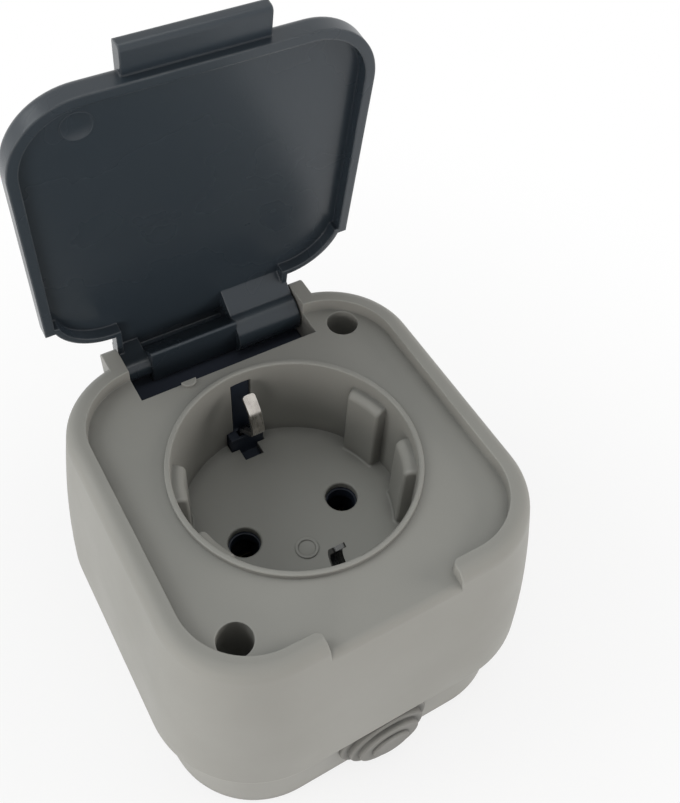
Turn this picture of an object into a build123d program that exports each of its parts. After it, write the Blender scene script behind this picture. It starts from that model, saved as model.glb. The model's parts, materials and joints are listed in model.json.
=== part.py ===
from build123d import *
import os
from math import asin, atan, cos, degrees, hypot, radians, sin, tan

os.makedirs("parts", exist_ok=True)

# A surface-mounted, earthed wall socket with a hinged rain lid, shown lying on its back with the lid open.
# Millimetres. The wall face is z = 0 and the plug enters along -Z.
# The cable enters at -Y and the lid hinges at +Y.

# Plug interface
pin_spacing = 19.0
pin_hole_diameter = 5.6
pin_hole_round = 0.4
plug_pin_length = 19.0
pin_end_clearance = 0.8
well_diameter = 39.0
well_depth = 17.5
well_wall = 1.7
well_floor_thickness = 1.4
lip_width = 0.9
lip_height = 1.0
lip_round = 0.25

# Guide ribs in the well
rib_depth = 2.1
rib_start_angle = 9.5
rib_arc = 21.5
rib_top_drop = 1.8
rib_top_round = 1.4
rib_side_round = 0.6

# Earth openings in the well
earth_slot_width = 3.8
earth_slot_drop = 1.5
earth_cross_width = 6.6
earth_cross_depth = 3.2
earth_cross_reach = 1.05
earth_cross_height = 3.2
earth_tongue_width = 3.6
earth_tongue_depth = 2.6
earth_post_gap = 0.2
earth_plate_thickness = 0.55

# Base box
base_width = 64.8
base_shoulder = 17.0
base_floor = 2.5
base_wall = 3.4
base_foot_round = 0.8
spigot_inset = 1.4
spigot_height = 6.0
spigot_clearance = 0.3
wall_hole_inset = 4.5
wall_hole_diameter = 4.5

# Cover
gasket_thickness = 1.0
gasket_clearance = 0.15
cover_overhang = 2.1
cover_rise = 31.0
cover_corner = 18.6
wall_swell = 0.6
face_thickness = 2.5
rim_height = 2.4
rim_setback = 4.2
rim_wall = 3.0
rim_outer_round = 2.3
rim_inner_round = 0.5
rim_gap = 22.0
rim_gap_round = 1.1
front_edge_round = 1.4

# Cover screws
screw_inset_x = 5.8
screw_inset_y = 5.2
screw_well_diameter = 5.5
screw_diameter = 3.0
screw_hole_clearance = 0.3
screw_head_diameter = 5.0
screw_head_height = 1.9
screw_slot_width = 0.8
screw_slot_depth = 0.9
screw_reach = 10.0
post_wall = 1.5
post_seat = 2.5
boss_rise = 7.5
boss_wall = 1.6
boss_gap = 0.2
insert_diameter = 5.0
insert_length = 6.0
insert_clearance = 0.02
seal_thickness = 1.0

# Lid hinge
hinge_setback = 0.9
hinge_drop = 2.0
hinge_pin_diameter = 2.5
hinge_pin_chamfer = 0.25
hinge_running_clearance = 0.05
hinge_ear_clearance = 0.02
hinge_side_clearance = 0.35
knuckle_radius = 3.8
knuckle_swing_clearance = 0.35
trough_width = 32.7
trough_web = 1.3
trough_wall = 1.8
ear_thickness = 2.65
ear_wall = 1.25
ear_drop = 3.2
ear_round = 1.6
stop_thickness = 2.2
hinge_seal_thickness = 0.8
hinge_seal_clearance = 0.1
nub_radius = 1.3
nub_offset = 8.0
nub_height = 0.6

# Lid
open_angle = 82.0
lid_clearance = 0.3
lid_thickness = 3.6
lid_panel = 1.6
lid_skirt = 1.6
lid_corner_lip = 1.0
lid_top_round = 1.3
lid_side_setback = 13.8
lid_corner_setback = 7.2
lid_rear_inset = 1.0
tab_width = 20.7
tab_reach = 4.3
tab_thickness = 2.2
tab_round = 0.7
knuckle_left = 4.0
web_left = -11.8
web_front = 5.5
web_drop = 2.1
web_foot = 3.1
web_slope = 45.0
web_round = 0.4
side_knuckle_radius = 1.95
ramp_front = 6.3
crease_front = 3.9
crease_height = 0.5

# Cable grommet
entry_height = 8.9
grommet_neck_radius = 5.3
grommet_clearance = 0.05
grommet_ring_radii = (8.6, 7.3, 5.9, 3.6)
grommet_ring_heights = (0.9, 1.1, 0.9, 0.6)
grommet_ring_round = 0.4
grommet_inner_flange = 0.9
grommet_flange_thickness = 1.6
grommet_skin = 1.2

# Contact carrier
carrier_radius = 20.5
carrier_gap = 0.3
cap_thickness = 2.0
pin_guide_diameter = 5.0
carrier_floor = 2.0
pocket_clearance = 0.25
carrier_screw_inset = 3.6
carrier_screw_angle = 35.0
carrier_screw_tip = 0.9
carrier_rest_inset = 4.5
pillar_radius = 3.5

# Contacts, terminals and earth bracket
strip = 0.8
contact_width = 5.0
contact_base = 6.0
contact_height = 11.0
contact_throat = 4.4
contact_flare = 2.0
terminal_size = 6.4
terminal_height = 8.0
terminal_shift = 1.0
terminal_y = -10.0
clamp_thickness = 0.8
clamp_size = 5.8
clamp_corner = 0.3
earth_strap_width = 6.0
earth_arm_width = 2.2
earth_arm_inset = 0.8
earth_knee_drop = 13.4
earth_apex_inset = 6.7
earth_apex_drop = 8.0
earth_flare_inset = 5.3
earth_flare_drop = 3.8
earth_tip_inset = 2.8
earth_tip_drop = 1.6
earth_tip_round = 0.6
earth_front_inset = 5.0
earth_front_drop = 4.4
earth_bend = 0.8
earth_apex_bend = 2.4

# Window for picking edges by their level
snap = 0.01

# Levels and half widths that follow from the sizes above
cover_foot = base_shoulder + gasket_thickness
face_height = cover_foot + cover_rise
rim_top = face_height + rim_height
base_half = base_width / 2
cover_half = base_half + cover_overhang
rim_half = cover_half - rim_setback
rim_inner = rim_half - rim_wall
wall_height = rim_top - cover_foot
wall_chord = hypot(rim_setback, wall_height)
cover_draft = degrees(atan(rim_setback / wall_height))
swell_radius = (wall_chord**2 / 4 + wall_swell**2) / (2 * wall_swell)
swell_x = (cover_half + rim_half) / 2 - (swell_radius - wall_swell) * wall_height / wall_chord
swell_z = (cover_foot + rim_top) / 2 - (swell_radius - wall_swell) * rim_setback / wall_chord
face_draft = asin((face_height - swell_z) / swell_radius)
rim_inner_corner = cover_corner - rim_setback - rim_wall
base_corner = cover_corner - cover_overhang
spigot_half = base_half - spigot_inset
spigot_corner = base_corner - spigot_inset
spigot_top = base_shoulder + spigot_height + spigot_clearance
cavity_half = base_half - base_wall
cavity_corner = base_corner - base_wall
wall_hole_spacing = 2 * (cavity_half - wall_hole_inset)
cover_inner = spigot_half + spigot_clearance
cover_inner_corner = spigot_corner + spigot_clearance
well_radius = well_diameter / 2
well_floor = face_height - well_depth
well_bottom = well_floor - well_floor_thickness
pin_x = pin_spacing / 2

# Hinge places
hinge_y = rim_half + hinge_setback
hinge_z = face_height - hinge_drop
pin_radius = hinge_pin_diameter / 2
trough_half = trough_width / 2
trough_front = well_radius + well_wall + trough_web
trough_floor = hinge_z - knuckle_radius - knuckle_swing_clearance - hinge_seal_thickness
ear_outer = trough_half + ear_thickness
ear_back = hinge_y + pin_radius + ear_wall

# Screw seats
boss_top = cover_foot + boss_rise
post_bottom = boss_top + boss_gap
post_top_seat = post_bottom + post_seat
post_radius = screw_well_diameter / 2 + post_wall
boss_radius = insert_diameter / 2 + boss_wall
screw_radius = screw_diameter / 2
screw_x = rim_inner - screw_inset_x
screw_y = rim_inner - screw_inset_y
screw_places = ((screw_x, screw_y), (-screw_x, -screw_y))

# Carrier levels
carrier_top = well_bottom - carrier_gap - cap_thickness
pocket_floor = well_floor - plug_pin_length - pin_end_clearance - strip
carrier_bottom = pocket_floor - carrier_floor
carrier_height = carrier_top - carrier_bottom
terminal_x = pin_x + terminal_shift
earth_arm_y = well_radius - earth_arm_inset
earth_cross_back = well_radius + earth_cross_reach
earth_cross_front = earth_cross_back - earth_cross_depth
terminal_foot = pocket_floor + strip
terminal_top = terminal_foot + terminal_height
carrier_screw_circle = carrier_radius - carrier_screw_inset
carrier_screw_x = carrier_screw_circle * cos(radians(carrier_screw_angle))
carrier_screw_y = carrier_screw_circle * sin(radians(carrier_screw_angle))
carrier_screw_places = ((carrier_screw_x, carrier_screw_y), (-carrier_screw_x, carrier_screw_y))
carrier_screw_seat = carrier_top - screw_head_height - screw_hole_clearance
carrier_rest_y = carrier_radius - carrier_rest_inset
terminal_places = ((-terminal_x, terminal_y), (terminal_x, terminal_y), (0, terminal_y))


def rectangle_between(x_low, x_high, y_low, y_high, mode=Mode.ADD):
    with Locations(((x_low + x_high) / 2, (y_low + y_high) / 2)):
        Rectangle(x_high - x_low, y_high - y_low, mode=mode)


def level(height):
    return Plane.XY.offset(height)


def save(part, name):
    part.label = name
    export_step(part, f"parts/{name}.step")


# Base box: a tray with a spigot that the cover slips over
with BuildPart() as base_box:
    with BuildSketch():
        RectangleRounded(base_width, base_width, base_corner)
    extrude(amount=base_shoulder)
    fillet(base_box.edges().group_by(Axis.Z)[0], base_foot_round)
    with BuildSketch(level(base_shoulder)):
        RectangleRounded(2 * spigot_half, 2 * spigot_half, spigot_corner)
    extrude(amount=spigot_height)
    with BuildSketch(level(base_floor)):
        RectangleRounded(2 * cavity_half, 2 * cavity_half, cavity_corner)
    extrude(amount=base_shoulder + spigot_height, mode=Mode.SUBTRACT)
    with BuildSketch(level(base_floor)):
        with Locations(*screw_places):
            Circle(boss_radius)
    extrude(amount=boss_top - base_floor)
    with BuildSketch(level(base_floor)):
        with Locations(*carrier_screw_places, (0, -carrier_rest_y)):
            Circle(pillar_radius)
    extrude(amount=carrier_bottom - base_floor)
    with BuildSketch(level(boss_top)):
        with Locations(*screw_places):
            Circle(insert_diameter / 2 + insert_clearance)
    extrude(amount=-insert_length, mode=Mode.SUBTRACT)
    with BuildSketch(level(boss_top)):
        with Locations(*screw_places):
            Circle(screw_radius + screw_hole_clearance)
    extrude(amount=-(screw_reach + boss_wall), mode=Mode.SUBTRACT)
    with BuildSketch(level(carrier_bottom)):
        with Locations(*carrier_screw_places):
            Circle(screw_radius + insert_clearance)
    extrude(amount=-(carrier_bottom - base_floor), mode=Mode.SUBTRACT)
    with BuildSketch():
        with GridLocations(wall_hole_spacing, 0, 2, 1):
            Circle(wall_hole_diameter / 2)
    extrude(amount=base_floor, mode=Mode.SUBTRACT)
    with BuildSketch(Plane.XZ.offset(cavity_half)):
        with Locations((0, entry_height)):
            Circle(grommet_neck_radius + grommet_clearance)
    extrude(amount=base_wall, mode=Mode.SUBTRACT)
save(base_box.part, "base_box")

# Cover gasket: a flat ring on the shoulder round the spigot
with BuildPart() as cover_gasket:
    gasket_inner = spigot_half + gasket_clearance
    gasket_outer = base_half - gasket_clearance
    with BuildSketch(level(base_shoulder)):
        RectangleRounded(2 * gasket_outer, 2 * gasket_outer, base_corner - gasket_clearance)
        RectangleRounded(2 * gasket_inner, 2 * gasket_inner, spigot_corner + gasket_clearance,
                         mode=Mode.SUBTRACT)
    extrude(amount=gasket_thickness)
save(cover_gasket.part, "cover_gasket")

# Guide rib: a ring segment with a rolled top and soft ends, of which the well takes four
with BuildPart() as guide_rib:
    rib_root = well_radius + well_wall / 2
    rib_foot = well_floor - well_floor_thickness / 2
    with BuildSketch(Plane.XZ) as rib_section:
        rectangle_between(well_radius - rib_depth, rib_root, rib_foot, face_height - rib_top_drop)
        fillet(rib_section.vertices().group_by(Axis.Y)[-1].sort_by(Axis.X)[0], rib_top_round)
    revolve(axis=Axis.Z, revolution_arc=rib_arc)
    rib_ends = guide_rib.faces().filter_by(GeomType.PLANE).filter_by(Axis.Z, reverse=True)
    end_edges = rib_ends.edges().filter_by(lambda edge: edge.center().Z > rib_foot + snap)
    fillet(end_edges.filter_by(lambda edge: hypot(edge.center().X, edge.center().Y) < rib_root - snap),
           rib_side_round)

# Cover: a shell with a gently swelling wall, a rim, a plug well, hinge ears and screw posts
with BuildPart() as cover:
    with BuildLine() as rim_path:
        FilletPolyline((rim_inner, 0), (rim_inner, rim_inner), (-rim_inner, rim_inner), (-rim_inner, 0),
                       radius=rim_inner_corner)
    with BuildSketch(Plane.XZ) as wall_section:
        with BuildLine():
            Polyline((rim_half, rim_top), (rim_inner, rim_top), (rim_inner, cover_foot),
                     (cover_half, cover_foot))
            RadiusArc((cover_half, cover_foot), (rim_half, rim_top), -swell_radius)
        make_face()
        rim_corners = wall_section.vertices().group_by(Axis.Y)[-1].sort_by(Axis.X)
        fillet(rim_corners[-1], rim_outer_round)
        fillet(rim_corners[0], rim_inner_round)
    sweep(path=rim_path.wire())
    mirror(about=Plane.XZ)
    with BuildSketch(level(cover_foot)):
        fill_width = 2 * rim_inner + rim_wall
        RectangleRounded(fill_width, fill_width, rim_inner_corner + rim_wall / 2)
    extrude(amount=face_height - cover_foot)

    # Finger gap in the front of the rim, with rounded ends and a soft front edge that rolls into the wall
    with BuildSketch(Plane.YZ.offset(-rim_gap / 2)):
        with BuildLine():
            gap_back = -rim_inner + rim_wall / 2
            roll = front_edge_round / tan((radians(90) + face_draft) / 2)
            edge_y = -swell_x - swell_radius * cos(face_draft)
            roll_end = (edge_y - roll * sin(face_draft), face_height - roll * cos(face_draft))
            RadiusArc((edge_y + roll, face_height), roll_end, -front_edge_round)
            Polyline(roll_end, (-cover_half, roll_end[1]), (-cover_half, rim_top), (gap_back, rim_top),
                     (gap_back, face_height), (edge_y + roll, face_height))
        make_face()
    extrude(amount=rim_gap, mode=Mode.SUBTRACT)
    gap_ends = cover.edges().filter_by(Axis.Z).filter_by_position(Axis.X, -rim_gap / 2, rim_gap / 2)
    fillet(gap_ends, rim_gap_round)

    # Hollow inside: straight round the spigot, then drafted like the outside
    with BuildSketch(level(cover_foot)):
        RectangleRounded(2 * cover_inner, 2 * cover_inner, cover_inner_corner)
    extrude(amount=spigot_top - cover_foot, mode=Mode.SUBTRACT)
    with BuildSketch(level(spigot_top)):
        RectangleRounded(2 * cover_inner, 2 * cover_inner, cover_inner_corner)
    extrude(amount=face_height - face_thickness - spigot_top, taper=cover_draft, mode=Mode.SUBTRACT)

    # Well tube with its raised lip
    with BuildSketch(level(well_bottom)):
        Circle(well_radius + well_wall)
    extrude(amount=well_depth + well_floor_thickness)
    with BuildSketch(level(face_height)):
        Circle(well_radius + lip_width)
    extrude(amount=lip_height)
    with BuildSketch(level(well_floor)):
        Circle(well_radius)
    extrude(amount=well_depth + lip_height, mode=Mode.SUBTRACT)
    lip_top = face_height + lip_height
    circles = cover.edges().filter_by(GeomType.CIRCLE)
    fillet(circles.filter_by_position(Axis.Z, lip_top - snap, lip_top + snap), lip_round)

    # Guide ribs, two on each side of the well
    for rib_turn in (rib_start_angle, -rib_start_angle - rib_arc):
        add(guide_rib.part, rotation=(0, 0, rib_turn))
        add(guide_rib.part, rotation=(0, 0, rib_turn + 180))

    # Block that carries the hinge trough, then the ears behind the rim
    with BuildSketch(level(trough_floor - trough_wall)):
        rectangle_between(-trough_half - trough_wall, trough_half + trough_wall,
                          trough_front - trough_wall, rim_half - rim_outer_round)
    extrude(amount=face_height - trough_floor + trough_wall)
    for ear_start in (trough_half, -ear_outer):
        with BuildSketch(Plane.YZ.offset(ear_start)):
            with BuildLine():
                Polyline((rim_inner + rim_inner_round, rim_top), (ear_back, rim_top),
                         (ear_back, hinge_z - pin_radius), (rim_half, trough_floor - ear_drop),
                         (rim_inner + rim_inner_round, trough_floor - ear_drop), close=True)
            make_face()
        extrude(amount=ear_thickness)
    with BuildSketch(level(trough_floor)):
        rectangle_between(-trough_half, trough_half, trough_front, ear_back)
    extrude(amount=rim_top - trough_floor, mode=Mode.SUBTRACT)
    with BuildSketch(level(trough_floor)):
        rectangle_between(-ear_outer, ear_outer, rim_half - rim_outer_round, ear_back)
    extrude(amount=-stop_thickness)
    cross_edges = cover.edges().filter_by(Axis.X)
    ear_edges = cross_edges.filter_by_position(Axis.Y, ear_back - ear_wall, ear_back + ear_wall)
    fillet(ear_edges.group_by(Axis.Z)[-1], ear_round)
    with BuildSketch(level(face_height)):
        with Locations((-nub_offset, trough_front)):
            Circle(nub_radius)
        rectangle_between(-nub_offset - nub_radius, -nub_offset + nub_radius,
                          trough_front, trough_front + nub_radius, Mode.SUBTRACT)
    extrude(amount=nub_height)

    # Screw posts with deep wells for the heads
    with BuildSketch(level(post_bottom)):
        with Locations(*screw_places):
            Circle(post_radius)
    extrude(amount=face_height - post_bottom)
    with BuildSketch(level(post_top_seat)):
        with Locations(*screw_places):
            Circle(screw_well_diameter / 2)
    extrude(amount=face_height - post_top_seat, mode=Mode.SUBTRACT)
    with BuildSketch(level(post_bottom)):
        with Locations(*screw_places):
            Circle(screw_radius + screw_hole_clearance)
    extrude(amount=post_seat, mode=Mode.SUBTRACT)

    # Pin holes, earth slots in the wall and earth openings in the floor
    with BuildSketch(level(well_bottom)):
        with GridLocations(pin_spacing, 0, 2, 1):
            Circle(pin_hole_diameter / 2)
    extrude(amount=well_floor_thickness, mode=Mode.SUBTRACT)
    circles = cover.edges().filter_by(GeomType.CIRCLE)
    floor_circles = circles.filter_by_position(Axis.Z, well_floor - snap, well_floor + snap)
    fillet(floor_circles.filter_by(lambda edge: edge.radius < pin_hole_diameter), pin_hole_round)
    for side in (1, -1):
        cross_front = side * earth_cross_front
        cross_back = side * earth_cross_back
        tongue_front = cross_front - side * earth_tongue_depth
        slot_back = side * trough_front
        with BuildSketch(level(well_floor)):
            rectangle_between(-earth_slot_width / 2, earth_slot_width / 2,
                              min(cross_front, slot_back), max(cross_front, slot_back))
        extrude(amount=well_depth - earth_slot_drop, mode=Mode.SUBTRACT)
        with BuildSketch(level(well_floor)):
            rectangle_between(-earth_cross_width / 2, earth_cross_width / 2,
                              min(cross_front, slot_back), max(cross_front, slot_back))
        extrude(amount=earth_cross_height, mode=Mode.SUBTRACT)
        with BuildSketch(level(well_bottom)):
            rectangle_between(-earth_cross_width / 2, earth_cross_width / 2,
                              min(cross_front, cross_back), max(cross_front, cross_back))
            rectangle_between(-earth_tongue_width / 2, earth_tongue_width / 2,
                              min(tongue_front, cross_front), max(tongue_front, cross_front))
        extrude(amount=well_floor_thickness, mode=Mode.SUBTRACT)

    # Hinge pin hole through both ears
    with BuildSketch(Plane.YZ.offset(-ear_outer)):
        with Locations((hinge_y, hinge_z)):
            Circle(pin_radius + hinge_ear_clearance)
    extrude(amount=2 * ear_outer, mode=Mode.SUBTRACT)
save(cover.part, "cover")

# Hinge seal: a dark strip bedded on the trough floor, which the open lid also rests against
with BuildPart() as hinge_seal:
    with BuildSketch(level(trough_floor)):
        rectangle_between(-trough_half + hinge_seal_clearance, trough_half - hinge_seal_clearance,
                          trough_front + hinge_seal_clearance, ear_back - hinge_seal_clearance)
    extrude(amount=hinge_seal_thickness)
save(hinge_seal.part, "hinge_seal")

# Hinge pin, flush with the ears
with BuildPart() as hinge_pin:
    with BuildSketch(Plane.YZ.offset(-ear_outer)):
        with Locations((hinge_y, hinge_z)):
            Circle(pin_radius)
    extrude(amount=2 * ear_outer)
    chamfer(hinge_pin.edges().filter_by(GeomType.CIRCLE), hinge_pin_chamfer)
save(hinge_pin.part, "hinge_pin")

# Lid: drawn in the hinge's own frame, as if closed, on planes that are tipped back to the open angle.
# Across is x, along is the distance behind the hinge axis, and height is above the axis.
tilt = radians(open_angle)
lid_frame = Plane((0, hinge_y, hinge_z), x_dir=(1, 0, 0), z_dir=(0, sin(tilt), cos(tilt)))
lid_section = Plane((0, hinge_y, hinge_z), x_dir=lid_frame.y_dir, z_dir=(1, 0, 0))
lid_foot = hinge_drop + lid_clearance
lid_top = lid_foot + lid_thickness
lid_inside = lid_top - lid_panel
lid_half = rim_inner - lid_clearance
lid_front = -hinge_y - lid_half
lid_back = knuckle_radius
lid_hinge_half = trough_half - hinge_side_clearance
lid_rear_corner = lid_half - lid_hinge_half - lid_rear_inset


def lid_outline(skirt, lip, back):
    half = lid_half - skirt
    corner = rim_inner_corner - lid_clearance - skirt
    front = lid_front + skirt
    side_end = -lid_side_setback - lip
    arc_middle = -lid_corner_setback - lid_rear_corner
    arc_radius = lid_rear_corner - lip
    arc_start = lid_hinge_half + (arc_radius**2 - (side_end - arc_middle) ** 2) ** 0.5
    arc_end = arc_middle + arc_radius
    with BuildLine() as outline:
        Line((0, front), (half - corner, front))
        RadiusArc((half - corner, front), (half, front + corner), -corner)
        Polyline((half, front + corner), (half, side_end), (arc_start, side_end))
        RadiusArc((arc_start, side_end), (lid_hinge_half, arc_end), -arc_radius)
        if back > arc_end:
            Line((lid_hinge_half, arc_end), (lid_hinge_half, back))
        Line((lid_hinge_half, max(back, arc_end)), (0, max(back, arc_end)))
        mirror(about=Plane.YZ)
    return outline.edges()


with BuildPart() as lid:
    with BuildSketch(lid_frame.offset(lid_foot)):
        make_face(lid_outline(0, 0, lid_back))
    extrude(amount=lid_thickness)
    fillet(lid.edges().group_by(Axis(lid_frame.origin, lid_frame.z_dir))[-1], lid_top_round)
    with BuildSketch(lid_frame.offset(lid_foot)):
        make_face(lid_outline(lid_skirt, lid_corner_lip, lid_front))
        lip_inner = lid_hinge_half - lid_corner_lip
        rectangle_between(-lip_inner, lip_inner, -lid_corner_setback - 2 * lid_corner_lip, 0)
    extrude(amount=lid_thickness - lid_panel, mode=Mode.SUBTRACT)
    with BuildSketch(lid_section.offset(-tab_width / 2)):
        with BuildLine():
            tab_low = lid_top - tab_thickness
            tab_tip = lid_front - tab_reach
            tab_root = lid_front + lid_skirt
            FilletPolyline((tab_root, tab_low), (tab_tip, tab_low), (tab_tip, lid_top), (tab_root, lid_top),
                           radius=tab_round)
            Line((tab_root, lid_top), (tab_root, tab_low))
        make_face()
    extrude(amount=tab_width)
    with BuildSketch(lid_section.offset(web_left)):
        with BuildLine():
            web_top = lid_inside + lid_panel / 2
            groove_end = (web_top + web_drop) / tan(radians(web_slope)) - web_front
            FilletPolyline((groove_end, web_top), (-web_front, -web_drop), (web_foot, -web_drop),
                           (knuckle_radius, 0), (knuckle_radius, web_top), radius=web_round)
            Line((knuckle_radius, web_top), (groove_end, web_top))
        make_face()
    extrude(amount=knuckle_left - web_left)
    with BuildSketch(lid_section.offset(-lid_hinge_half)):
        rectangle_between(-side_knuckle_radius, knuckle_radius, 0, web_top)
        Circle(side_knuckle_radius)
    extrude(amount=web_left + lid_hinge_half)
    with BuildSketch(lid_section.offset(knuckle_left)):
        with BuildLine():
            Polyline((-ramp_front, lid_inside + lid_panel / 2), (-ramp_front, lid_inside),
                     (-crease_front, crease_height), (0, 0), (knuckle_radius, 0),
                     (knuckle_radius, lid_inside + lid_panel / 2), close=True)
        make_face()
        Circle(knuckle_radius)
    extrude(amount=lid_hinge_half - knuckle_left)
    with BuildSketch(lid_section.offset(-lid_hinge_half)):
        Circle(pin_radius + hinge_running_clearance)
    extrude(amount=2 * lid_hinge_half, mode=Mode.SUBTRACT)
save(lid.part, "lid")

# Cable grommet: stepped rings outside, a neck in the wall and a retaining flange inside
with BuildPart() as cable_grommet:
    with BuildSketch(Plane.YZ):
        with BuildLine():
            outside = -base_half
            inside = -cavity_half
            flange_back = inside + grommet_flange_thickness
            hollow_radius = grommet_neck_radius - grommet_skin
            flange_radius = grommet_neck_radius + grommet_inner_flange
            profile = [(flange_back, hollow_radius), (flange_back, flange_radius), (inside, flange_radius),
                       (inside, grommet_neck_radius), (outside, grommet_neck_radius)]
            corner_rounds = [0, 0, 0, 0, 0]
            reach = outside
            for ring_radius, ring_height in zip(grommet_ring_radii, grommet_ring_heights):
                profile.append((reach, ring_radius))
                reach -= ring_height
                profile.append((reach, ring_radius))
                corner_rounds += [0, grommet_ring_round]
            profile += [(reach, 0), (reach + grommet_skin, 0), (reach + grommet_skin, hollow_radius)]
            corner_rounds += [0, 0, 0]
            raised = [(y, entry_height + radius) for y, radius in profile]
            FilletPolyline(*raised, radius=corner_rounds, close=True)
        make_face()
    revolve(axis=Axis((0, 0, entry_height), (0, 1, 0)))
save(cable_grommet.part, "cable_grommet")

# Contact carrier: an insulating disc with pockets from above
with BuildPart() as contact_carrier:
    with BuildSketch(level(carrier_bottom)):
        Circle(carrier_radius)
    extrude(amount=carrier_height)
    with BuildSketch(level(pocket_floor)):
        room = pocket_clearance
        for side in (1, -1):
            with Locations((side * pin_x, 0)):
                Rectangle(contact_width + 2 * room, contact_base + strip + 2 * room)
            with Locations((side * terminal_x, terminal_y)):
                Rectangle(terminal_size + 2 * room, terminal_size + 2 * room)
            with Locations((side * pin_x, terminal_y / 2)):
                Rectangle(contact_width + 2 * room, -terminal_y)
        with Locations((0, 0)):
            Rectangle(terminal_size + 2 * room, 2 * carrier_radius)
    extrude(amount=carrier_height, mode=Mode.SUBTRACT)
    with BuildSketch(level(carrier_bottom)):
        with Locations(*carrier_screw_places):
            Circle(screw_radius + screw_hole_clearance)
    extrude(amount=carrier_height, mode=Mode.SUBTRACT)
    with BuildSketch(level(carrier_top)):
        with Locations(*carrier_screw_places):
            Circle(screw_head_diameter / 2 + screw_hole_clearance)
    extrude(amount=carrier_screw_seat - carrier_top, mode=Mode.SUBTRACT)
save(contact_carrier.part, "contact_carrier")

# Carrier cap: a thin disc that shuts the pockets and guides the plug pins,
# with a dark post behind each spring
with BuildPart() as carrier_cap:
    with BuildSketch(level(carrier_top)):
        Circle(carrier_radius)
        with GridLocations(pin_spacing, 0, 2, 1):
            Circle(pin_guide_diameter / 2, mode=Mode.SUBTRACT)
    extrude(amount=cap_thickness)
    for side in (1, -1):
        post_front = side * (earth_cross_front + earth_post_gap)
        plate_back = side * (earth_cross_back - earth_post_gap)
        plate_front = plate_back - side * earth_plate_thickness
        with BuildSketch(level(carrier_top)):
            post_half = earth_cross_width / 2 - earth_post_gap
            rectangle_between(-post_half, post_half,
                              min(post_front, plate_front), max(post_front, plate_front))
        extrude(amount=well_floor + earth_cross_height - earth_post_gap - carrier_top)
        with BuildSketch(level(carrier_top)):
            plate_half = earth_slot_width / 2 - earth_post_gap
            rectangle_between(-plate_half, plate_half,
                              min(plate_front, plate_back), max(plate_front, plate_back))
        extrude(amount=face_height - earth_slot_drop - earth_post_gap - carrier_top)
    with BuildSketch(level(carrier_top)):
        with GridLocations(0, 2 * earth_arm_y, 1, 2):
            Rectangle(earth_arm_width + 2 * pocket_clearance, strip + 2 * pocket_clearance)
    extrude(amount=face_height - carrier_top, mode=Mode.SUBTRACT)
save(carrier_cap.part, "carrier_cap")


def contact_clip(name, x):
    with BuildPart() as contact:
        with BuildSketch(Plane.YZ.offset(x - contact_width / 2)):
            with BuildLine():
                half = contact_base / 2
                throat = (contact_throat + strip) / 2
                bottom = pocket_floor + strip / 2
                top = pocket_floor + contact_height
                arm = [(half, bottom), (half, pocket_floor + contact_flare), (throat, top - contact_flare),
                       (half, top)]
                FilletPolyline(*[(-y, z) for y, z in reversed(arm)], *arm, radius=strip)
            trace(line_width=strip)
        extrude(amount=contact_width)
        with BuildSketch(level(pocket_floor)):
            rectangle_between(x - contact_width / 2, x + contact_width / 2, terminal_y, 0)
            with Locations((x + (terminal_shift if x > 0 else -terminal_shift), terminal_y)):
                Rectangle(terminal_size, terminal_size)
        extrude(amount=strip)
    save(contact.part, name)


contact_clip("live_contact", -pin_x)
contact_clip("neutral_contact", pin_x)

# Earth bracket: one bent strip with a spring tongue at each end of the well
with BuildPart() as earth_bracket:
    with BuildSketch(Plane.YZ.offset(-earth_arm_width / 2)):
        with BuildLine():
            bottom = pocket_floor + strip / 2
            arm = [(earth_arm_y, bottom), (earth_arm_y, face_height - earth_knee_drop),
                   (well_radius - earth_apex_inset, face_height - earth_apex_drop)]
            rear_end = [(well_radius - earth_flare_inset, face_height - earth_flare_drop),
                        (well_radius - earth_tip_inset, face_height - earth_tip_drop)]
            front_end = (earth_front_inset - well_radius, face_height - earth_front_drop)
            front_arm = [(-y, z) for y, z in reversed(arm)]
            bends = [earth_apex_bend, *[earth_bend] * 4, earth_apex_bend, earth_apex_bend]
            FilletPolyline(front_end, *front_arm, *arm, *rear_end, radius=bends)
        trace(line_width=strip)
    extrude(amount=earth_arm_width)
    fillet(earth_bracket.edges().filter_by(lambda edge: abs(edge.length - strip) < snap), earth_tip_round)
    with BuildSketch(level(pocket_floor)):
        Rectangle(earth_strap_width, 2 * (earth_arm_y - earth_bend - strip))
    extrude(amount=strip)
save(earth_bracket.part, "earth_bracket")


def terminal_block(name, place):
    with BuildPart() as terminal:
        with BuildSketch(level(terminal_foot)):
            with Locations(place):
                Rectangle(terminal_size, terminal_size)
                Circle(screw_radius + insert_clearance, mode=Mode.SUBTRACT)
        extrude(amount=terminal_height)
    save(terminal.part, name)


terminal_names = ("live_terminal", "neutral_terminal", "earth_terminal")
for terminal_name, terminal_place in zip(terminal_names, terminal_places):
    terminal_block(terminal_name, terminal_place)

# Clamp plates under the terminal screws
with BuildPart() as clamp_plates:
    with BuildSketch(level(terminal_top)):
        with Locations(*terminal_places):
            RectangleRounded(clamp_size, clamp_size, clamp_corner)
            Circle(screw_radius + screw_hole_clearance, mode=Mode.SUBTRACT)
    extrude(amount=clamp_thickness)
save(clamp_plates.part, "clamp_plates")


def slotted_screws(name, places, seat, length):
    with BuildPart() as screws:
        with BuildSketch(level(seat)):
            with Locations(*places):
                Circle(screw_head_diameter / 2)
        extrude(amount=screw_head_height)
        with BuildSketch(level(seat)):
            with Locations(*places):
                Circle(screw_radius)
        extrude(amount=-length)
        with BuildSketch(level(seat + screw_head_height)):
            with Locations(*places):
                Rectangle(screw_head_diameter, screw_slot_width)
        extrude(amount=-screw_slot_depth, mode=Mode.SUBTRACT)
    save(screws.part, name)


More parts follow.
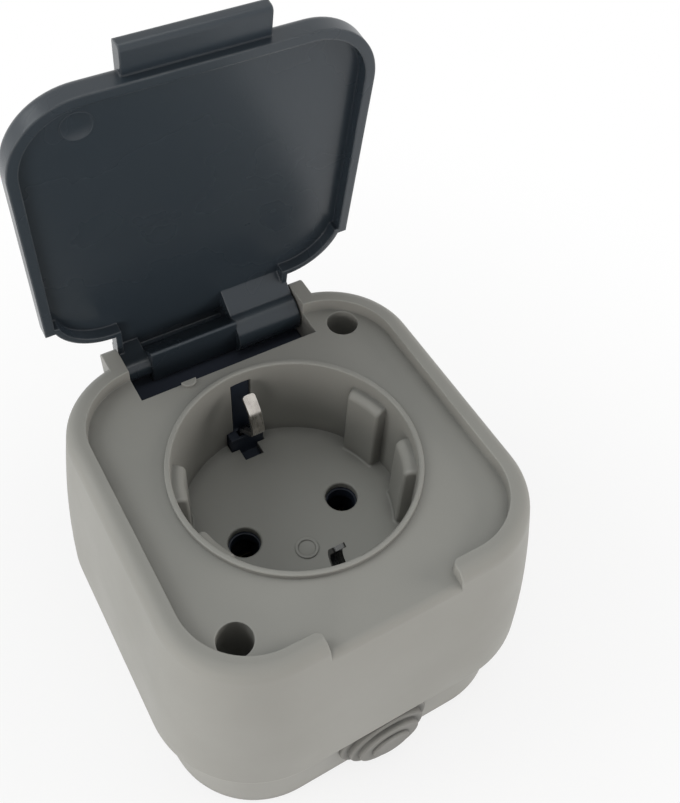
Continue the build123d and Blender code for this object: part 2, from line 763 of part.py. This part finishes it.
screw_seal_top = post_top_seat + seal_thickness
slotted_screws("terminal_screws", terminal_places, terminal_top + clamp_thickness, terminal_height)
slotted_screws("carrier_screws", carrier_screw_places, carrier_screw_seat,
               carrier_screw_seat - base_floor - carrier_screw_tip)
slotted_screws("cover_screws", screw_places, screw_seal_top, screw_seal_top - boss_top + screw_reach)

# Rubber seals under the cover screw heads
with BuildPart() as screw_seals:
    with BuildSketch(level(post_top_seat)):
        with Locations(*screw_places):
            Circle(screw_head_diameter / 2)
            Circle(screw_radius + insert_clearance, mode=Mode.SUBTRACT)
    extrude(amount=seal_thickness)
save(screw_seals.part, "screw_seals")

# Threaded inserts in the base bosses
with BuildPart() as screw_inserts:
    with BuildSketch(level(boss_top)):
        with Locations(*screw_places):
            Circle(insert_diameter / 2)
            Circle(screw_radius + insert_clearance, mode=Mode.SUBTRACT)
    extrude(amount=-insert_length)
save(screw_inserts.part, "screw_inserts")
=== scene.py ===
import json
from math import radians

import bpy
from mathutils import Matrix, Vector


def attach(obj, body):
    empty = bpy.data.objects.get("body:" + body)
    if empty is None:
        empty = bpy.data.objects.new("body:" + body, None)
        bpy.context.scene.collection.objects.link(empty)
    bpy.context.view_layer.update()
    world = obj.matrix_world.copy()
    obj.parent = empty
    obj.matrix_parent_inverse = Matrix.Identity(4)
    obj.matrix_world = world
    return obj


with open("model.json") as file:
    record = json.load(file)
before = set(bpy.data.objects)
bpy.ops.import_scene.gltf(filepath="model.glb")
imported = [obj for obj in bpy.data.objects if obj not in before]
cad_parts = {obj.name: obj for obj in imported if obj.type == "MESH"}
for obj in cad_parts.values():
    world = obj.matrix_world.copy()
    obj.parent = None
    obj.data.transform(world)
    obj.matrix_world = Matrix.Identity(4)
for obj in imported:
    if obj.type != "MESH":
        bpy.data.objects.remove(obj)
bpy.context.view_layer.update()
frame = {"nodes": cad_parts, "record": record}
nodes = frame["nodes"]
mm = 0.001
print("frame loaded:", len(nodes), "nodes")


# settings that all finishes share
shading = {
    "bevelRays": 6, "occlusionRays": 8,
    "wideSpan": (0.25, 0.75), "middleSpan": (0.3, 0.7), "patchSpan": (0.35, 0.75),  # stretches of a noise
    "edgeSpan": (0.95, 0.5), "creviceSpan": (0.95, 0.4),  # stretches of the occlusion
    "leastGrimeAndShade": 0.6, "leastRubAndHighlight": 0.4,  # least shares of the grime with painted shade and of the wear with painted highlight, over the patches
    "fineDetail": 4.0, "softDetail": 2.0, "grainRoughness": 0.6,
}
# a Mix node's colour sockets go by number, because its other kinds have the same names
mixSockets = {"first": 6, "second": 7, "result": 2}


# small helpers for node trees
def newMaterial(name):
    material = bpy.data.materials.new(name)
    material.use_nodes = True
    tree = material.node_tree
    return material, tree, tree.nodes["Principled BSDF"]


def addNode(tree, kind, settings=None, **values):
    node = tree.nodes.new(kind)
    for key, value in (settings or {}).items():
        setattr(node, key, value)
    for key, value in values.items():
        node.inputs[key.replace("_", " ")].default_value = value
    return node


def objectNoise(tree, scale, detail=3.0, roughness=0.5):
    coordinates = addNode(tree, "ShaderNodeTexCoord")
    noise = addNode(tree, "ShaderNodeTexNoise", Scale=scale, Detail=detail, Roughness=roughness)
    tree.links.new(coordinates.outputs["Object"], noise.inputs["Vector"])
    return noise.outputs["Fac"]


def mapRange(tree, source, fromMin, fromMax, toMin, toMax):
    node = addNode(tree, "ShaderNodeMapRange", {"interpolation_type": "SMOOTHSTEP"}, From_Min=fromMin,
                   From_Max=fromMax, To_Min=toMin, To_Max=toMax)
    tree.links.new(source, node.inputs["Value"])
    return node.outputs["Result"]


def multiply(tree, first, second):
    node = addNode(tree, "ShaderNodeMath", {"operation": "MULTIPLY"})
    tree.links.new(first, node.inputs[0])
    tree.links.new(second, node.inputs[1])
    return node.outputs["Value"]


def blendColour(tree, factor, first, second):
    node = addNode(tree, "ShaderNodeMix", {"data_type": "RGBA"})
    tree.links.new(factor, node.inputs["Factor"])
    for key, colour in (("first", first), ("second", second)):
        socket = node.inputs[mixSockets[key]]
        if isinstance(colour, bpy.types.NodeSocket):
            tree.links.new(colour, socket)
        else:
            socket.default_value = (*colour, 1.0)
    return node.outputs[mixSockets["result"]]


def softNormal(tree, radius):  # shading normal that rounds the edges
    bevel = addNode(tree, "ShaderNodeBevel", {"samples": shading["bevelRays"]}, Radius=radius)
    return bevel.outputs["Normal"]


def edgeMask(tree, reach, inside):  # 1 on convex edges where inside is true, and in crevices where it is not
    settings = {"samples": shading["occlusionRays"], "inside": inside, "only_local": inside}
    occlusion = addNode(tree, "ShaderNodeAmbientOcclusion", settings, Distance=reach)
    span = shading["edgeSpan"] if inside else shading["creviceSpan"]
    return mapRange(tree, occlusion.outputs["AO"], *span, 0.0, 1.0)


def addBump(tree, height, distance, normal):
    bump = addNode(tree, "ShaderNodeBump", Strength=1.0, Distance=distance)
    tree.links.new(height, bump.inputs["Height"])
    tree.links.new(normal, bump.inputs["Normal"])
    return bump.outputs["Normal"]


# moulded and rubber finishes: two close tones, edges paler from wear and a painted highlight, crevices
# darker from grime and painted shade, eroded-mould grain
def mouldedFinish(name, look):
    material, tree, shader = newMaterial(name)
    clouds = objectNoise(tree, look["cloudScale"], shading["fineDetail"])
    cloud = mapRange(tree, clouds, *shading["wideSpan"], 0.0, 1.0)
    colour = blendColour(tree, cloud, look["colour"], look["shade"])
    patches = objectNoise(tree, look["edgeAndCrevicePatchScale"])
    leastGrimeAndShade, leastRubAndHighlight = shading["leastGrimeAndShade"] * look["grimeAndShade"], shading["leastRubAndHighlight"] * look["rubAndHighlight"]
    # painted shade: crevices darken towards the grime colour, standing in for shade as well as for grime
    grimeAndShade = multiply(tree, edgeMask(tree, look["grimeAndShadeReach"], False),
                     mapRange(tree, patches, *shading["middleSpan"], look["grimeAndShade"], leastGrimeAndShade))
    colour = blendColour(tree, grimeAndShade, colour, look["grimeAndShadeColour"])
    # painted highlight: convex edges turn paler, standing in for edge highlights as well as for wear
    rubAndHighlight = multiply(tree, edgeMask(tree, look["rubAndHighlightReach"], True),
                   mapRange(tree, patches, *shading["middleSpan"], leastRubAndHighlight, look["rubAndHighlight"]))
    colour = blendColour(tree, rubAndHighlight, colour, look["wornAndHighlight"])
    tree.links.new(colour, shader.inputs["Base Color"])
    sheen = objectNoise(tree, look["sheenScale"])
    rough = mapRange(tree, sheen, *shading["wideSpan"], *look["roughness"])
    tree.links.new(rough, shader.inputs["Roughness"])
    shader.inputs["Specular IOR Level"].default_value = look["specular"]
    waves = objectNoise(tree, look["waveScale"], shading["softDetail"])
    waved = addBump(tree, waves, look["waveDepth"], softNormal(tree, look["edgeRadius"]))
    grain = objectNoise(tree, look["grainScale"], shading["softDetail"], shading["grainRoughness"])
    tree.links.new(addBump(tree, grain, look["grainDepth"], waved), shader.inputs["Normal"])
    return material


# plated and bare metals: brushed along one axis, duller in patches, painted shade dark in crevices, paler
# worn edges with a painted highlight
def metalFinish(name, look):
    material, tree, shader = newMaterial(name)
    coordinates = addNode(tree, "ShaderNodeTexCoord")
    stretch = addNode(tree, "ShaderNodeMapping", Scale=look["brushScale"])
    brush = addNode(tree, "ShaderNodeTexNoise", Scale=1.0, Detail=shading["fineDetail"])
    tree.links.new(coordinates.outputs["Object"], stretch.inputs["Vector"])
    tree.links.new(stretch.outputs["Vector"], brush.inputs["Vector"])
    patches = objectNoise(tree, look["patchScale"], shading["fineDetail"])
    patch = mapRange(tree, patches, *shading["patchSpan"], 0.0, 1.0)
    colour = blendColour(tree, patch, look["colour"], look["tarnish"])
    # painted highlight: convex edges turn paler, for wear and for highlights
    colour = blendColour(tree, edgeMask(tree, look["edgeRadius"], True), colour, look["wornAndHighlight"])
    # painted shade: crevices darken, for grime and for shade
    colour = blendColour(tree, edgeMask(tree, look["grimeAndShadeReach"], False), colour, look["grimeAndShadeColour"])
    if "shadedEndSpan" in look:  # painted shade: the strip is darker towards one end along Y
        axes = addNode(tree, "ShaderNodeSeparateXYZ")
        tree.links.new(coordinates.outputs["Object"], axes.inputs["Vector"])
        shadedEndShare = mapRange(tree, axes.outputs["Y"], *look["shadedEndSpan"], 0.0, 1.0)
        colour = blendColour(tree, shadedEndShare, colour, look["shadedEnd"])
    tree.links.new(colour, shader.inputs["Base Color"])
    rough = mapRange(tree, brush.outputs["Fac"], *shading["middleSpan"], *look["roughness"])
    tree.links.new(rough, shader.inputs["Roughness"])
    shader.inputs["Metallic"].default_value = 1.0
    brushed = addBump(tree, brush.outputs["Fac"], look["brushDepth"], softNormal(tree, look["edgeRadius"]))
    tree.links.new(brushed, shader.inputs["Normal"])
    return material


# in these finishes the grime colour and reach also paint shade into crevices, pockets and the face beside
# the rim, and the worn colour also paints highlights on convex edges
greyPlastic = {
    "colour": (0.304, 0.300, 0.278), "shade": (0.284, 0.281, 0.260), "wornAndHighlight": (0.44, 0.436, 0.41),
    "grimeAndShadeColour": (0.12, 0.119, 0.112), "cloudScale": 28.0, "edgeAndCrevicePatchScale": 160.0, "rubAndHighlight": 0.7, "grimeAndShade": 0.6,
    "rubAndHighlightReach": 0.35 * mm, "grimeAndShadeReach": 3.2 * mm, "edgeRadius": 0.3 * mm,
    "sheenScale": 70.0, "roughness": (0.46, 0.58), "specular": 0.45,
    "waveScale": 260.0, "waveDepth": 0.012 * mm, "grainScale": 3200.0, "grainDepth": 0.012 * mm,
}
darkPlastic = {
    "colour": (0.030, 0.040, 0.050), "shade": (0.026, 0.035, 0.045), "wornAndHighlight": (0.10, 0.112, 0.125),
    "grimeAndShadeColour": (0.016, 0.020, 0.028), "cloudScale": 30.0, "edgeAndCrevicePatchScale": 200.0, "rubAndHighlight": 0.7, "grimeAndShade": 0.5,
    "rubAndHighlightReach": 0.3 * mm, "grimeAndShadeReach": 1.5 * mm, "edgeRadius": 0.45 * mm,
    "sheenScale": 60.0, "roughness": (0.23, 0.31), "specular": 0.46,
    "waveScale": 220.0, "waveDepth": 0.012 * mm, "grainScale": 2800.0, "grainDepth": 0.010 * mm,
}
# for a mark that lies almost flush, with no worn or painted-highlight edges and almost no rounding
flushPlastic = {**darkPlastic, "rubAndHighlight": 0.0, "edgeRadius": 0.05 * mm}
insulator = {
    "colour": (0.013, 0.019, 0.032), "shade": (0.011, 0.016, 0.027), "wornAndHighlight": (0.045, 0.05, 0.062),
    "grimeAndShadeColour": (0.008, 0.010, 0.016), "cloudScale": 60.0, "edgeAndCrevicePatchScale": 240.0, "rubAndHighlight": 0.5, "grimeAndShade": 0.3,
    "rubAndHighlightReach": 0.2 * mm, "grimeAndShadeReach": 0.8 * mm, "edgeRadius": 0.2 * mm,
    "sheenScale": 90.0, "roughness": (0.42, 0.58), "specular": 0.40,
    "waveScale": 300.0, "waveDepth": 0.01 * mm, "grainScale": 3000.0, "grainDepth": 0.01 * mm,
}
grommetRubber = {
    "colour": (0.225, 0.222, 0.207), "shade": (0.195, 0.192, 0.180), "wornAndHighlight": (0.31, 0.306, 0.288),
    "grimeAndShadeColour": (0.06, 0.06, 0.056), "cloudScale": 90.0, "edgeAndCrevicePatchScale": 300.0, "rubAndHighlight": 0.7, "grimeAndShade": 1.0,
    "rubAndHighlightReach": 0.3 * mm, "grimeAndShadeReach": 1.2 * mm, "edgeRadius": 0.3 * mm,
    "sheenScale": 120.0, "roughness": (0.55, 0.72), "specular": 0.35,
    "waveScale": 500.0, "waveDepth": 0.02 * mm, "grainScale": 2600.0, "grainDepth": 0.02 * mm,
}
sealRubber = {
    "colour": (0.030, 0.037, 0.055), "shade": (0.024, 0.030, 0.046), "wornAndHighlight": (0.06, 0.066, 0.08),
    "grimeAndShadeColour": (0.016, 0.018, 0.024), "cloudScale": 90.0, "edgeAndCrevicePatchScale": 300.0, "rubAndHighlight": 0.4, "grimeAndShade": 0.3,
    "rubAndHighlightReach": 0.2 * mm, "grimeAndShadeReach": 0.8 * mm, "edgeRadius": 0.2 * mm,
    "sheenScale": 120.0, "roughness": (0.62, 0.8), "specular": 0.35,
    "waveScale": 400.0, "waveDepth": 0.02 * mm, "grainScale": 2400.0, "grainDepth": 0.03 * mm,
}
platedSteel = {
    "colour": (0.58, 0.58, 0.56), "tarnish": (0.42, 0.41, 0.39), "wornAndHighlight": (0.68, 0.68, 0.66),
    "grimeAndShadeColour": (0.20, 0.195, 0.185), "brushScale": (300.0, 2400.0, 2400.0), "patchScale": 400.0,
    "edgeRadius": 0.15 * mm, "grimeAndShadeReach": 0.8 * mm, "roughness": (0.24, 0.40), "brushDepth": 0.006 * mm,
}
springSteel = {
    "colour": (0.56, 0.53, 0.49), "tarnish": (0.40, 0.375, 0.345), "wornAndHighlight": (0.70, 0.67, 0.63),
    "grimeAndShadeColour": (0.10, 0.097, 0.095), "brushScale": (2600.0, 400.0, 260.0), "patchScale": 500.0,
    "edgeRadius": 0.15 * mm, "grimeAndShadeReach": 3.0 * mm, "roughness": (0.22, 0.36), "brushDepth": 0.006 * mm,
    # painted shade: the front arm of the strip darkens
    "shadedEndSpan": (6.0 * mm, -6.0 * mm), "shadedEnd": (0.11, 0.112, 0.11),
}
brass = {
    "colour": (0.60, 0.43, 0.17), "tarnish": (0.42, 0.28, 0.11), "wornAndHighlight": (0.74, 0.56, 0.26),
    "grimeAndShadeColour": (0.07, 0.056, 0.038), "brushScale": (2200.0, 300.0, 600.0), "patchScale": 450.0,
    "edgeRadius": 0.12 * mm, "grimeAndShadeReach": 5.0 * mm, "roughness": (0.22, 0.38), "brushDepth": 0.006 * mm,
}

finishes = {
    "grey_plastic": mouldedFinish("greyPlastic", greyPlastic),
    "dark_plastic": mouldedFinish("darkPlastic", darkPlastic),
    "flush_plastic": mouldedFinish("flushPlastic", flushPlastic),
    "insulator": mouldedFinish("insulator", insulator),
    "grommet_rubber": mouldedFinish("grommetRubber", grommetRubber),
    "seal_rubber": mouldedFinish("sealRubber", sealRubber),
    "steel": metalFinish("platedSteel", platedSteel),
    "spring_steel": metalFinish("springSteel", springSteel),
    "brass": metalFinish("brass", brass),
}
for subpart in frame["record"]["subparts"]:
    node = nodes[subpart["node"]]
    node.data.materials.clear()
    node.data.materials.append(finishes[subpart["material_slot"]])
print("finishes made:", len(finishes))

# faint marks that the mould leaves: a raised ring in the well floor and a pin mark inside the lid
wellRing = {
    "radius": 2.0 * mm, "rise": 0.30 * mm, "sink": 0.9 * mm, "band": 0.5 * mm, "dip": 0.28 * mm,
    "bevel": 0.08 * mm, "place": (-0.8 * mm, -6.1 * mm, 31.5 * mm), "turn": (0.0, 0.0, 0.0),
    "body": "housing", "slot": "grey_plastic", "finish": "grey_plastic",
}
lidPinMark = {
    "radius": 2.4 * mm, "rise": 0.05 * mm, "sink": 0.9 * mm, "band": 0.3 * mm, "dip": 0.03 * mm,
    "bevel": 0.02 * mm, "place": (-16.5 * mm, 28.25 * mm, 98.9 * mm), "turn": (98.0, 0.0, 0.0),
    "body": "lid", "slot": "dark_plastic", "finish": "flush_plastic",
}
# upward is the least z of a normal on the top face
markMesh = {"sides": 64, "bevelSegments": 2, "smoothAngle": 40.0, "upward": 0.9}


def mouldMark(name, look):
    depth = look["rise"] + look["sink"]
    bpy.ops.object.select_all(action="DESELECT")
    bpy.ops.mesh.primitive_cylinder_add(vertices=markMesh["sides"], radius=look["radius"],
                                        depth=depth, location=(0.0, 0.0, look["rise"] - depth / 2))
    mark = bpy.context.object
    mark.name = name
    bpy.ops.object.transform_apply(location=True, rotation=True, scale=True)
    bpy.ops.object.mode_set(mode="EDIT")
    bpy.ops.mesh.select_mode(type="FACE")
    bpy.ops.mesh.select_all(action="DESELECT")
    bpy.ops.object.mode_set(mode="OBJECT")
    for face in mark.data.polygons:
        face.select = face.normal.z > markMesh["upward"]
    bpy.ops.object.mode_set(mode="EDIT")
    bpy.ops.mesh.inset(thickness=look["band"])
    bpy.ops.mesh.extrude_region_move(TRANSFORM_OT_translate={"value": (0.0, 0.0, -look["dip"])})
    bpy.ops.object.mode_set(mode="OBJECT")
    bevel = mark.modifiers.new("softEdges", "BEVEL")
    bevel.width = look["bevel"]
    bevel.segments = markMesh["bevelSegments"]
    bpy.ops.object.modifier_apply(modifier="softEdges")
    bpy.ops.object.shade_smooth_by_angle(angle=radians(markMesh["smoothAngle"]))
    mark.location = look["place"]
    mark.rotation_euler = [radians(angle) for angle in look["turn"]]
    bpy.ops.object.transform_apply(location=True, rotation=True, scale=True)
    mark.data.materials.append(finishes[look["finish"]])
    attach(mark, look["body"])


mouldMark("wellRing", wellRing)
mouldMark("lidPinMark", lidPinMark)
print("mould marks added")


# studio: a pale floor, a white surround and soft lamps
studio = {
    "floorSize": 3.0, "floorColour": (0.92, 0.92, 0.92), "floorGlow": 0.80, "floorFade": (0.03, 0.16),
    "floorRoughness": 0.9, "floorSpecular": 0.1,
    "surround": 0.26, "warm": (1.0, 0.965, 0.93), "cool": (0.97, 1.0, 0.99),
    "lamps": (
        # name, place, size, watts, tint
        ("topLamp", (0.0, 0.05, 1.0), 0.70, 2.0, "cool"),
        ("sideLamp", (-0.75, 0.42, 0.70), 0.60, 3.0, "cool"),
        ("rightLamp", (0.80, -0.35, 0.22), 0.60, 4.5, "warm"),
        ("lowLamp", (-0.60, -0.60, 0.12), 0.45, 3.3, "warm"),
        ("leftLamp", (-0.80, -0.05, 0.12), 0.60, 1.5, "warm"),
    ),
    "unseenLamps": ("lowLamp", "rightLamp"), "aim": (0.0, 0.0, 0.035),
}


def seenRays(tree):  # 1 for rays that show the surround itself: camera, gloss and glass
    path = addNode(tree, "ShaderNodeLightPath")
    seen = path.outputs["Is Camera Ray"]
    for other in ("Is Glossy Ray", "Is Transmission Ray"):
        either = addNode(tree, "ShaderNodeMath", {"operation": "MAXIMUM"})
        tree.links.new(seen, either.inputs[0])
        tree.links.new(path.outputs[other], either.inputs[1])
        seen = either.outputs["Value"]
    return seen


bpy.ops.object.select_all(action="DESELECT")
bpy.ops.mesh.primitive_plane_add(size=studio["floorSize"], location=(0, 0, 0))
floor = bpy.context.object
floor.name = "floor"
floorMaterial, floorTree, floorShader = newMaterial("paleFloor")
floorShader.inputs["Base Color"].default_value = (*studio["floorColour"], 1.0)
floorShader.inputs["Roughness"].default_value = studio["floorRoughness"]
floorShader.inputs["Specular IOR Level"].default_value = studio["floorSpecular"]
glow = addNode(floorTree, "ShaderNodeEmission", Strength=1.0)
mixGlow = addNode(floorTree, "ShaderNodeMixShader")
floorPlace = addNode(floorTree, "ShaderNodeTexCoord")
distance = addNode(floorTree, "ShaderNodeVectorMath", {"operation": "LENGTH"})
floorTree.links.new(floorPlace.outputs["Object"], distance.inputs[0])
whiteness = mapRange(floorTree, distance.outputs["Value"], *studio["floorFade"], studio["floorGlow"], 1.0)
floorTree.links.new(multiply(floorTree, seenRays(floorTree), whiteness), mixGlow.inputs["Fac"])
floorTree.links.new(floorShader.outputs["BSDF"], mixGlow.inputs[1])
floorTree.links.new(glow.outputs["Emission"], mixGlow.inputs[2])
floorTree.links.new(mixGlow.outputs["Shader"], floorTree.nodes["Material Output"].inputs["Surface"])
floor.data.materials.append(floorMaterial)

world = bpy.data.worlds.new("whiteSurround")
bpy.context.scene.world = world
world.use_nodes = True
worldTree = world.node_tree
background = worldTree.nodes["Background"]
background.inputs["Color"].default_value = (1.0, 1.0, 1.0, 1.0)
surround = mapRange(worldTree, seenRays(worldTree), 0.0, 1.0, studio["surround"], 1.0)
worldTree.links.new(surround, background.inputs["Strength"])

for lampName, place, size, watts, tint in studio["lamps"]:
    bpy.ops.object.light_add(type="AREA", location=place)
    lamp = bpy.context.object
    lamp.name = lampName
    lamp.data.shape = "DISK"
    lamp.data.size = size
    lamp.data.energy = watts
    lamp.data.color = studio[tint]
    lamp.visible_glossy = lampName not in studio["unseenLamps"]
    lamp.rotation_euler = (Vector(studio["aim"]) - Vector(place)).to_track_quat("-Z", "Y").to_euler()
bpy.context.scene.view_settings.view_transform = "Standard"
print("studio set:", len(studio["lamps"]), "lamps")

# camera at the photograph's viewing angle
photoCamera = {
    "place": (-41.39 * mm, -72.93 * mm, 174.01 * mm), "turn": (37.537, -2.847, -30.166),
    "lens": 42.62, "clipStart": 5 * mm,
}
bpy.ops.object.camera_add(location=photoCamera["place"])
camera = bpy.context.object
camera.name = "photoCamera"
camera.rotation_euler = [radians(angle) for angle in photoCamera["turn"]]
camera.data.lens = photoCamera["lens"]
camera.data.clip_start = photoCamera["clipStart"]
bpy.context.scene.camera = camera
print("camera set")
